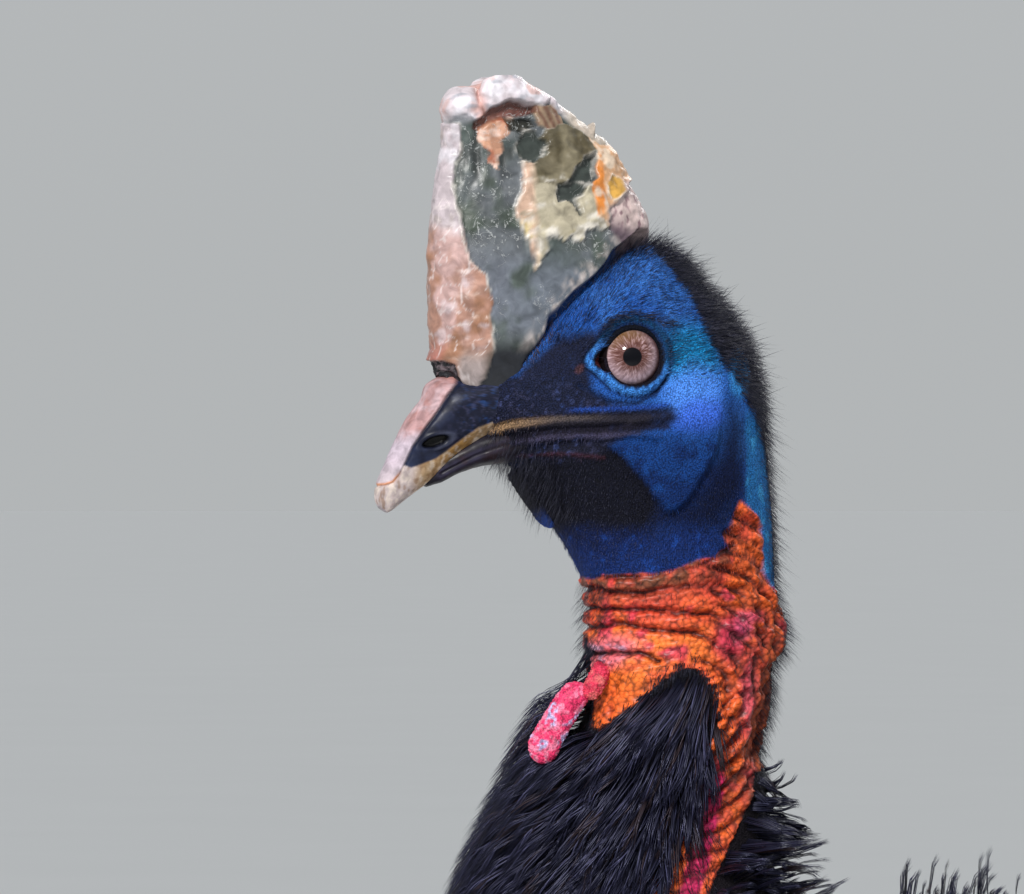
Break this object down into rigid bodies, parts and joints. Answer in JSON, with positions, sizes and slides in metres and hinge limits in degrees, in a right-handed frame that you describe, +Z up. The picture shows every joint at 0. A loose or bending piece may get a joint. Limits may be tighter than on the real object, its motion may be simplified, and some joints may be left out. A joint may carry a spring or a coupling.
{
  "type": "northern cassowary",
  "caption": "Life-size standing cassowary with a tall horn casque, blue head, folded orange neck, red wattle and a black hair-like coat.",
  "frame": {"origin": "on the floor, under the middle of the bird's box", "axes": "the bird faces -X, its left side faces -Y, +Z is up"},
  "size_m": [0.9725, 0.5238, 1.3069],
  "materials": {
    "casque_horn": "scratched, flaking grey-green horn, cream and pink at its top and front",
    "bill_horn": "dark, half-gloss horn with a pinkish ridge",
    "blue_skin": "soft pebbled skin, cobalt to sky blue, black at the face",
    "eye": "wet and glossy, red-brown iris, black pupil",
    "orange_skin": "folded, beaded skin, orange to crimson",
    "wattle_skin": "soft folded skin, crimson and pink with grey-blue patches",
    "feather": "hair-like black feathers with a blue-violet sheen",
    "quill_horn": "smooth black quills",
    "leg_skin": "dull grey-olive scutes",
    "claw_horn": "dark horn, worn paler at the tips"
  },
  "bodies": {
    "root": {"casque": "casque_horn", "bill_upper": "bill_horn", "bill_lower": "bill_horn", "head": "blue_skin", "eye_left": "eye", "eye_right": "eye", "neck_upper": "orange_skin", "neck_lower": "feather", "wattle": "wattle_skin", "torso": "feather", "tail": "feather", "wing_left": "quill_horn", "wing_right": "quill_horn", "thigh_left": "feather", "thigh_right": "feather", "shank_left": "leg_skin", "shank_right": "leg_skin", "toe_inner_left": "leg_skin", "toe_middle_left": "leg_skin", "toe_outer_left": "leg_skin", "toe_inner_right": "leg_skin", "toe_middle_right": "leg_skin", "toe_outer_right": "leg_skin", "claw_inner_left": "claw_horn", "claw_middle_left": "claw_horn", "claw_outer_left": "claw_horn", "claw_inner_right": "claw_horn", "claw_middle_right": "claw_horn", "claw_outer_right": "claw_horn"}
  },
  "joints": []
}
